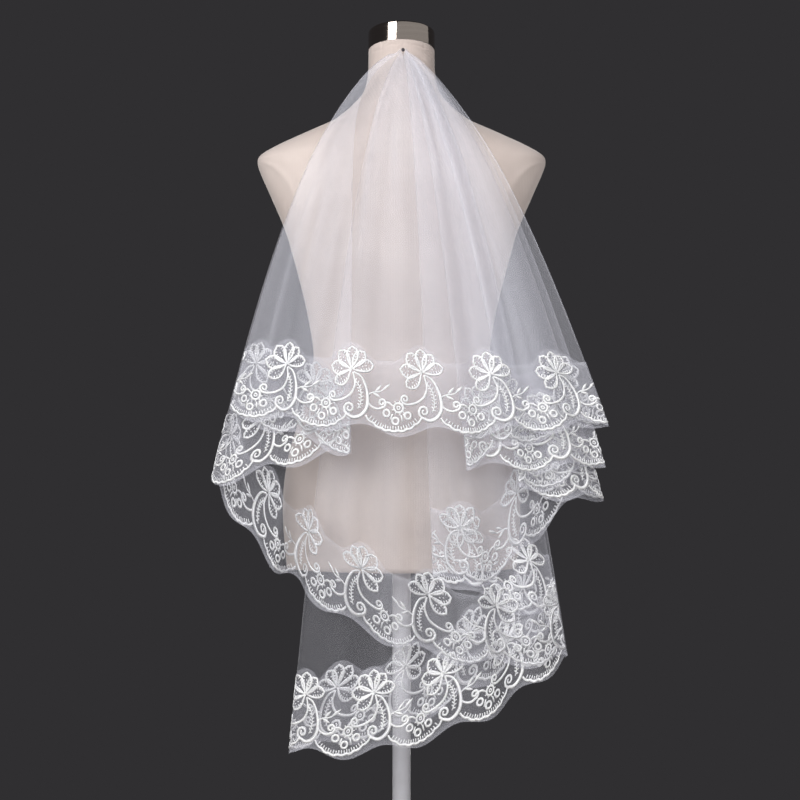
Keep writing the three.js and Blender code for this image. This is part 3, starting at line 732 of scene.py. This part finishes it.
def drawMotif():  # strokes of (points, width, height, closed, taper, swell)
    strokes = []

    def draw(points, kind, closed=False, taper=0.0, swell=0.0):
        strokes.append((np.array(points, float), *motif[kind], closed, taper, swell))

    def drawScroll(name, taper, swell):
        draw(np.vstack([spline(motif[name])[:-1], curl(*motif[name + "Curl"])]), "cord", False, taper, swell)

    # lobed border under the medallion, with a row of teeth inside it
    t = np.linspace(-1, 1, motif["archPoints"])
    middle, half, foot, rise, power = motif["arch"]
    arch = np.stack([middle + half * t, foot + rise * np.abs(t) ** power], -1)
    slope = np.gradient(arch, axis=0)
    side = np.stack([slope[:, 1], -slope[:, 0]], -1)
    side /= np.linalg.norm(side, axis=1, keepdims=True)
    lobes = motif["lobeDepth"] * np.abs(np.sin(math.pi / 2 * motif["lobes"] * (t + 1))) - motif["lobeIn"]
    draw(arch + side * lobes[:, None], "bold", taper=0.3)
    for k in motif["teeth"]:
        tip = motif["toothTo"] + motif["toothVary"] * math.sin(k * motif["toothWave"])
        draw([arch[k] - side[k] * motif["toothFrom"], arch[k] - side[k] * tip], "line", taper=0.3)
    # rosette with its picots, three eyelets, bars and a feeler
    centre = np.array(motif["rosette"], float)
    draw(ringOf(centre, motif["rosetteRadius"], 16), "cord", True)
    draw(ringOf(centre, motif["rosetteHeart"], 7), "line", True)
    for k in range(motif["picots"]):
        way = direction(360 * k / motif["picots"])
        draw([centre + way * motif["picotFrom"], centre + way * motif["picotTo"]], "fine")
    for eyelet in motif["eyelets"]:
        draw(ringOf(eyelet, motif["eyeletRadius"], 13), "cord", True)
    for a, b in motif["bars"]:
        draw([a, mix(np.array(a), np.array(b), 0.5), b], "line")
    draw(spline(motif["feeler"]), "cord", taper=0.6)
    # stem that leaves the flower, then a crescent leaf that swells to its belly, its inner line and feather stitch
    drawScroll("stem", 0.2, 0.15)
    drawScroll("leaf", 0.25, 0.75)
    line = spline(motif["leafLine"])
    draw(line, "fine")
    for k in range(1, len(line) - 1):
        way = line[k + 1] - line[k - 1]
        way /= np.linalg.norm(way)
        out = np.array([-way[1], way[0]]) * (1 if k % 2 else -1)
        draw([line[k], line[k] + out * motif["featherOut"] - way * motif["featherBack"]], "fine")
    # flower of blunt petals that fan out from the head of the stem, widest past the middle, and its stamens
    heart = np.array(motif["flower"], float)
    t = np.linspace(0, 1, motif["petalSteps"] + 1)
    thereAndBack = np.append(t, t[-2:0:-1])
    sides = np.append(petalHalf(t), -petalHalf(t)[-2:0:-1])
    for angle, length, width, bend in motif["petals"]:
        way = direction(angle)
        petal = (heart + way * motif["petalFoot"], angle, length, bend)
        draw(onPetal(*petal, thereAndBack, sides * width), "cord", True)
        for step in motif["stitches"]:
            for reach in (-width * petalHalf(step), width * petalHalf(step)):
                inner = onPetal(*petal, step, reach * motif["stitchTo"]) - way * motif["stitchSlant"]
                draw([onPetal(*petal, step, reach * motif["stitchFrom"]), inner], "fine")
        for step in motif["dots"]:
            draw([onPetal(*petal, step), onPetal(*petal, step) + way * motif["dotLength"]], "fine")
    for k, angle in enumerate(motif["stamens"]):
        way = direction(angle)
        tip = motif["stamenShort"] + motif["stamenMore"] * (k % 2)
        draw([heart, heart + way * motif["stamenMiddle"], heart + way * tip], "line", taper=0.5)
    # sprig beyond the leaf: stalk, buds and a curl
    draw(spline(motif["stalk"]), "line", taper=0.4)
    for base, angle, length in motif["buds"]:
        bud = np.array(base) + np.multiply.outer(np.linspace(0, length, 5), direction(angle))
        draw(bud, "line", taper=0.75, swell=0.9)
    drawScroll("tail", 0.25, 0.15)
    return strokes


def motifObject():
    points, faces, mids, uvs = [], [], [], []
    for line, width, height, closed, taper, swell in drawMotif():
        n, start = len(line), len(points)
        way = np.roll(line, -1, 0) - np.roll(line, 1, 0) if closed else np.gradient(line, axis=0)
        way /= np.maximum(np.linalg.norm(way, axis=1, keepdims=True), 1e-9)
        side = np.stack([-way[:, 1], way[:, 0]], -1)
        t = np.linspace(0, 1, n)
        size = (1 - taper * np.abs(2 * t - 1) ** 3) * (1 + swell * np.sin(math.pi * t) ** 2)
        along = runLength(line) * mm
        for k in range(n):
            reach = side[k] * width / 2 * size[k]
            points += [(*(line[k] + reach), 0), (*line[k], height * min(size[k], 1)), (*(line[k] - reach), 0)]
            uvs += [(along[k], 0), (along[k], width * mm / 2), (along[k], width * mm)]
        mids += [line[:, 0].mean() * mm] * (3 * n)
        for k in range(n if closed else n - 1):
            a, b = start + 3 * k, start + 3 * ((k + 1) % n)
            for p, q in ((0, 1), (1, 2), (2, 0)):
                faces.append((a + p, a + q, b + q, b + p))
        if not closed:
            faces.append((start + 2, start + 1, start))
            faces.append((start + 3 * n - 3, start + 3 * n - 2, start + 3 * n - 1))
    piece = meshPiece("motif", np.array(points) * mm, faces, threadFinish)
    addUv(piece, "stitch", *np.array(uvs).T)
    addPointValue(piece, "strokeMid", mids)
    return piece


def embroideryTree():  # repeats the flat motif in a row and lays it on a band of cloth by the band's flat map
    tree = bpy.data.node_groups.new("embroideryRow", "GeometryNodeTree")
    kinds = {"Band": "Geometry", "Motif": "Object", "Thread": "Material", "Repeats": "Int", "First": "Float",
             "Pitch": "Float", "Keep From": "Float", "Keep To": "Float", "Lift": "Float"}
    for name, kind in kinds.items():
        tree.interface.new_socket(name, in_out="INPUT", socket_type="NodeSocket" + kind)
    tree.interface.new_socket("Embroidery", in_out="OUTPUT", socket_type="NodeSocketGeometry")
    given = addNode(tree, "NodeGroupInput")
    first = addNode(tree, "ShaderNodeCombineXYZ", {}, {"X": given["First"]})
    step = addNode(tree, "ShaderNodeCombineXYZ", {}, {"X": given["Pitch"]})
    row = addNode(tree, "GeometryNodeMeshLine", {},
                  {"Count": given["Repeats"], "Start Location": first["Vector"], "Offset": step["Vector"]})
    here = addNode(tree, "GeometryNodeInputPosition")["Position"]
    split = addNode(tree, "ShaderNodeSeparateXYZ", {}, {"Vector": here})
    marked = addNode(tree, "GeometryNodeStoreNamedAttribute", {"data_type": "FLOAT", "domain": "POINT"},
                     {"Geometry": row["Mesh"], "Name": "place", "Value": split["X"]})
    shape = addNode(tree, "GeometryNodeObjectInfo", {}, {"Object": given["Motif"]})
    copies = addNode(tree, "GeometryNodeInstanceOnPoints", {},
                     {"Points": marked["Geometry"], "Instance": shape["Geometry"]})
    flat = addNode(tree, "GeometryNodeRealizeInstances", {}, {"Geometry": copies["Instances"]})
    place, mid, bandMap, outwards = (
        addNode(tree, "GeometryNodeInputNamedAttribute", {"data_type": kind}, {"Name": name})["Attribute"]
        for name, kind in (("place", "FLOAT"), ("strokeMid", "FLOAT"),
                           ("flat", "FLOAT_VECTOR"), ("out", "FLOAT_VECTOR")))
    # strokes whose middle lies past either end of the stretch are dropped whole
    middle = addNode(tree, "ShaderNodeMath", {"operation": "ADD"}, {0: place, 1: mid})
    early = addNode(tree, "ShaderNodeMath", {"operation": "LESS_THAN"},
                    {0: middle["Value"], 1: given["Keep From"]})
    late = addNode(tree, "ShaderNodeMath", {"operation": "GREATER_THAN"},
                   {0: middle["Value"], 1: given["Keep To"]})
    outside = addNode(tree, "ShaderNodeMath", {"operation": "ADD"}, {0: early["Value"], 1: late["Value"]})
    kept = addNode(tree, "GeometryNodeDeleteGeometry", {"domain": "POINT"},
                   {"Geometry": flat["Geometry"], "Selection": outside["Value"]})
    at = addNode(tree, "ShaderNodeCombineXYZ", {}, {"X": split["X"], "Y": split["Y"]})
    ground, facing = (
        addNode(tree, "GeometryNodeSampleUVSurface", {"data_type": "FLOAT_VECTOR"},
                {"Mesh": given["Band"], "UV Map": bandMap, "Sample UV": at["Vector"], "Value": value})["Value"]
        for value in (here, outwards))
    rise = addNode(tree, "ShaderNodeMath", {"operation": "ADD"}, {0: split["Z"], 1: given["Lift"]})
    lifted = addNode(tree, "ShaderNodeVectorMath", {"operation": "SCALE"}, {0: facing, "Scale": rise["Value"]})
    target = addNode(tree, "ShaderNodeVectorMath", {"operation": "ADD"}, {0: ground, 1: lifted["Vector"]})
    laid = addNode(tree, "GeometryNodeSetPosition", {},
                   {"Geometry": kept["Geometry"], "Position": target["Vector"]})
    done = addNode(tree, "GeometryNodeSetMaterial", {},
                   {"Geometry": laid["Geometry"], "Material": given["Thread"]})
    addNode(tree, "NodeGroupOutput", {}, {"Embroidery": done["Geometry"]})
    return tree


motifPiece = motifObject()
rowTree = embroideryTree()
print("motif ready:", len(motifPiece.data.polygons), "faces")


def makeBand(index):  # cloth under one stretch's lace, with a margin round each fold, mapped flat in metres
    (start, end), margin = hemLengths[index][[0, -1]], lace["margin"]
    lengths = np.linspace(start - margin, end + margin, int((end - start + 2 * margin) / lace["bandStep"]))
    places = np.interp(lengths % hemTotal, hemLengths.ravel(), hemPlaces.ravel())
    hem = hemAt(places)
    heights = np.linspace(lace["bandTop"], lace["bandFoot"], lace["bandRows"])
    drop = hem["drop"][:, None] * (1 - heights[None, :] / hem["reach"][:, None])
    points = clothPoints(hem, places, drop, hem["drop"])[0]
    band = gridPiece("band", points, groundFinish)
    addUv(band, "flat", (lengths - start + margin)[:, None] * mm, heights[None, :] * mm)
    layer = band.data.attributes.new("out", "FLOAT_VECTOR", "POINT")
    layer.data.foreach_set("vector", surfaceNormals(points).astype(np.float32).ravel())
    return band


def makeLace(index):
    name = stretchNames[index]
    (start, end), margin = hemLengths[index][[0, -1]], lace["margin"]
    band = makeBand(index)
    firstRepeat = math.floor(start / pitch + lace["phase"]) - 1
    repeats = math.ceil(end / pitch + lace["phase"]) - firstRepeat + 1
    modifier = band.modifiers.new("embroidery", "NODES")
    modifier.node_group = rowTree
    values = {"Motif": motifPiece, "Thread": threadFinish, "Repeats": repeats, "Pitch": pitch * mm,
              "First": ((firstRepeat - lace["phase"]) * pitch - start + margin) * mm,
              "Keep From": margin * mm, "Keep To": (end - start + margin) * mm, "Lift": lace["threadLift"] * mm}
    for item in rowTree.interface.items_tree:
        if item.item_type == "SOCKET" and item.in_out == "INPUT" and item.name in values:
            modifier[item.identifier] = values[item.name]
    bpy.context.view_layer.update()
    thread = bpy.data.meshes.new_from_object(band.evaluated_get(bpy.context.evaluated_depsgraph_get()))
    bpy.data.objects.remove(band)
    # net ground: scalloped below, domed over each flower
    places, hem, lengths = stretchColumns(index)
    away = ((repeatAt(lengths) - lace["domeAt"] + 1.5) % 1 - 0.5) / lace["domeHalf"]
    top = lace["dip"] + lace["dome"] * hump(away) ** lace["domePower"]
    rows = [0, lace["netEdge"], *np.linspace(0.1, 0.9, lace["netRows"]), 1 - lace["netEdge"], 1]
    heights = mix(top[:, None], scallopAt(lengths)[:, None], np.array(rows)[None, :])
    drop = hem["drop"][:, None] * (1 - heights / hem["reach"][:, None])
    points, normal, _ = clothPoints(hem, places, drop, hem["drop"])
    piece = gridPiece("lace_" + name + "_net", points + normal * lace["netLift"], groundFinish)
    addUv(piece, "flat", lengths[:, None] * mm, heights * mm)
    dense = np.repeat(lace["foldDense"] * hem["crest"][:, None], len(rows), 1)
    dense[:, [0, 1, -2, -1]] += lace["edgeDense"]
    addPointValue(piece, "netDensityAndShade", dense)
    threadPiece = bpy.data.objects.new("lace_" + name + "_thread", thread)
    bpy.context.scene.collection.objects.link(threadPiece)
    for part in (piece, threadPiece):
        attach(part, "root")
    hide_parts("lace_" + name)
    return piece, threadPiece


for index, name in enumerate(stretchNames):
    tulle, flatSize, area = makeTulle(index)
    laceNet, laceThread = makeLace(index)
    print(name, *(len(piece.data.polygons) for piece in (tulle, laceNet, laceThread)), "faces")
bpy.data.objects.remove(motifPiece)
print("veil ready")
